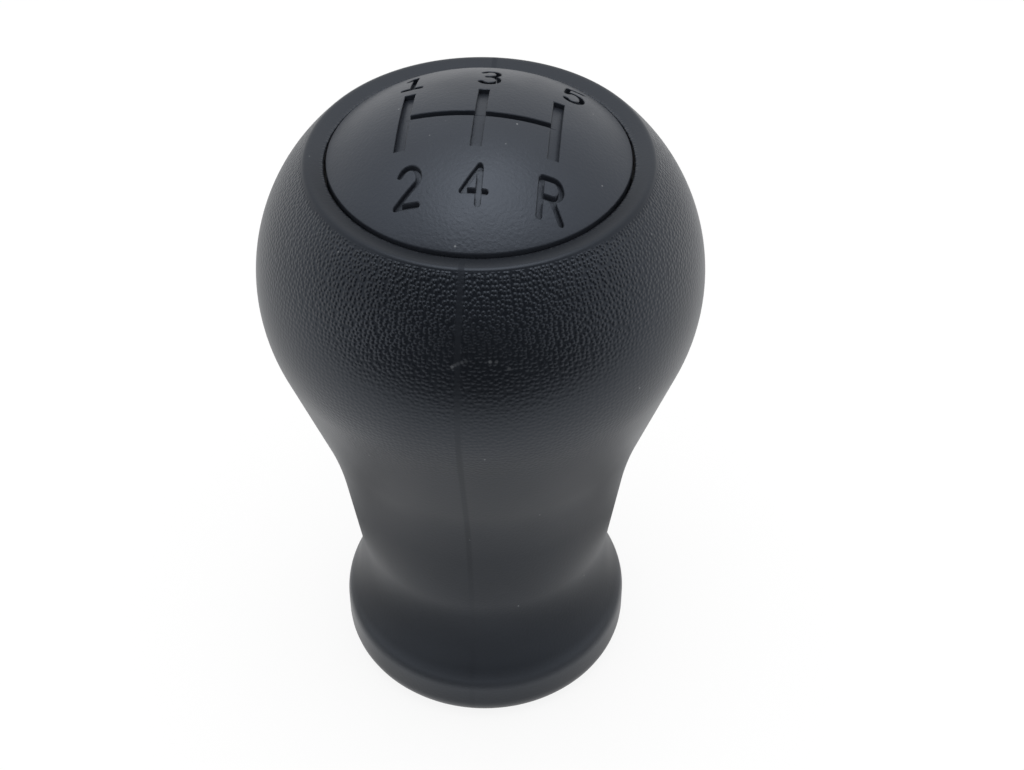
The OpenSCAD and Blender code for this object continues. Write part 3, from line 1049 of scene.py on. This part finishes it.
def dark_card(stage):
    """A dark card that stands behind the camera and lies on the floor before it."""
    steps = len(CARD_SECTION) - 1
    leave_edit_mode()
    bpy.ops.mesh.primitive_grid_add(x_subdivisions=1, y_subdivisions=steps, size=CARD_WIDTH)
    card = bpy.context.object
    card.name = "dark_card"
    rows = sorted({round(v.co.y, 4) for v in card.data.vertices})
    across, away = view_axes(stage)
    for vertex in card.data.vertices:
        y, z = CARD_SECTION[rows.index(round(vertex.co.y, 4))]
        vertex.co = across * vertex.co.x + away * y + Vector((0, 0, z))
    reflection_only(card, CARD_TINT)


def reflected_shade_ring(name, inner, outer, tone):
    """A grey ring on the floor round the foot, painted shade that only reflections see."""
    low, high = SHADE_RING_Z
    shade_ring = outline_loop(name, [(inner, low), (outer, low), (outer, high), (inner, high)])
    spin_round(shade_ring, [(2 * math.pi, SHADE_RING_STEPS)])
    reflection_only(shade_ring, (tone, tone, tone))


def aim_camera(stage):
    """A camera at the photo's viewing angle."""
    level = stage.view_reach * math.cos(stage.view_elevation)
    height = stage.view_reach * math.sin(stage.view_elevation)
    across, away = view_axes(stage)
    aim = across * stage.view_side + Vector((0, 0, stage.view_aim_z))
    place = aim - away * level + Vector((0, 0, height))
    leave_edit_mode()
    bpy.ops.object.camera_add(location=place)
    camera = bpy.context.object
    camera.name = "camera"
    point_at(camera, place, aim)
    camera.data.sensor_width = SENSOR_WIDTH
    camera.data.lens = stage.lens
    camera.data.clip_start = NEAR_CLIP
    bpy.context.scene.camera = camera


class KNOB_OT_stage(bpy.types.Operator):
    """Sets up the floor, the lamp, the surroundings and the camera"""

    bl_idname = "knob.stage"
    bl_label = "Studio"

    def execute(self, context):
        stage = context.scene.knob_stage
        leave_edit_mode()
        bpy.ops.mesh.primitive_plane_add(size=FLOOR_SIZE)
        floor = bpy.context.object
        floor.name = "floor"
        dress(floor, floor_material(stage.floor_tint, stage.floor_white))
        dark_card(stage)
        # Grey rings of painted shade round the foot, seen only in reflections
        for shade_ring in SHADE_RINGS:
            reflected_shade_ring(*shade_ring)
        soft_lamp("top_lamp", LAMP_PLACE, LAMP_AIM, LAMP_SIZE, LAMP_POWER)
        paper_world()
        aim_camera(stage)
        context.scene.view_settings.view_transform = "Standard"
        return {"FINISHED"}


class KNOB_PT_panel(bpy.types.Panel):
    """Lists the knob's steps and sizes"""

    bl_label = "Gear Shift Knob"
    bl_idname = "KNOB_PT_panel"
    bl_space_type = "VIEW_3D"
    bl_region_type = "UI"
    bl_category = "Knob"

    def draw(self, context):
        scene = context.scene
        for operator, settings in (
            ("knob.grip_skin", scene.knob_grip),
            ("knob.engraved_cap", scene.knob_cap),
            ("knob.inner_parts", None),
            ("knob.stage", scene.knob_stage),
        ):
            box = self.layout.box()
            box.operator(operator)
            if settings:
                for name in settings.__annotations__:
                    box.prop(settings, name)


CLASSES = (
    KnobGripSettings,
    KnobCapSettings,
    KnobStageSettings,
    KNOB_OT_grip_skin,
    KNOB_OT_engraved_cap,
    KNOB_OT_inner_parts,
    KNOB_OT_stage,
    KNOB_PT_panel,
)


def register():
    """Registers the classes and hangs their settings on the scene."""
    for cls in CLASSES:
        bpy.utils.register_class(cls)
    bpy.types.Scene.knob_grip = bpy.props.PointerProperty(type=KnobGripSettings)
    bpy.types.Scene.knob_cap = bpy.props.PointerProperty(type=KnobCapSettings)
    bpy.types.Scene.knob_stage = bpy.props.PointerProperty(type=KnobStageSettings)


def unregister():
    """Takes the settings and the classes away again."""
    del bpy.types.Scene.knob_grip
    del bpy.types.Scene.knob_cap
    del bpy.types.Scene.knob_stage
    for cls in reversed(CLASSES):
        bpy.utils.unregister_class(cls)


def main():
    """Builds the knob's pieces and the studio."""
    register()
    bpy.ops.knob.grip_skin()
    bpy.ops.knob.engraved_cap()
    bpy.ops.knob.inner_parts()
    bpy.ops.knob.stage()


if __name__ == "__main__":
    main()
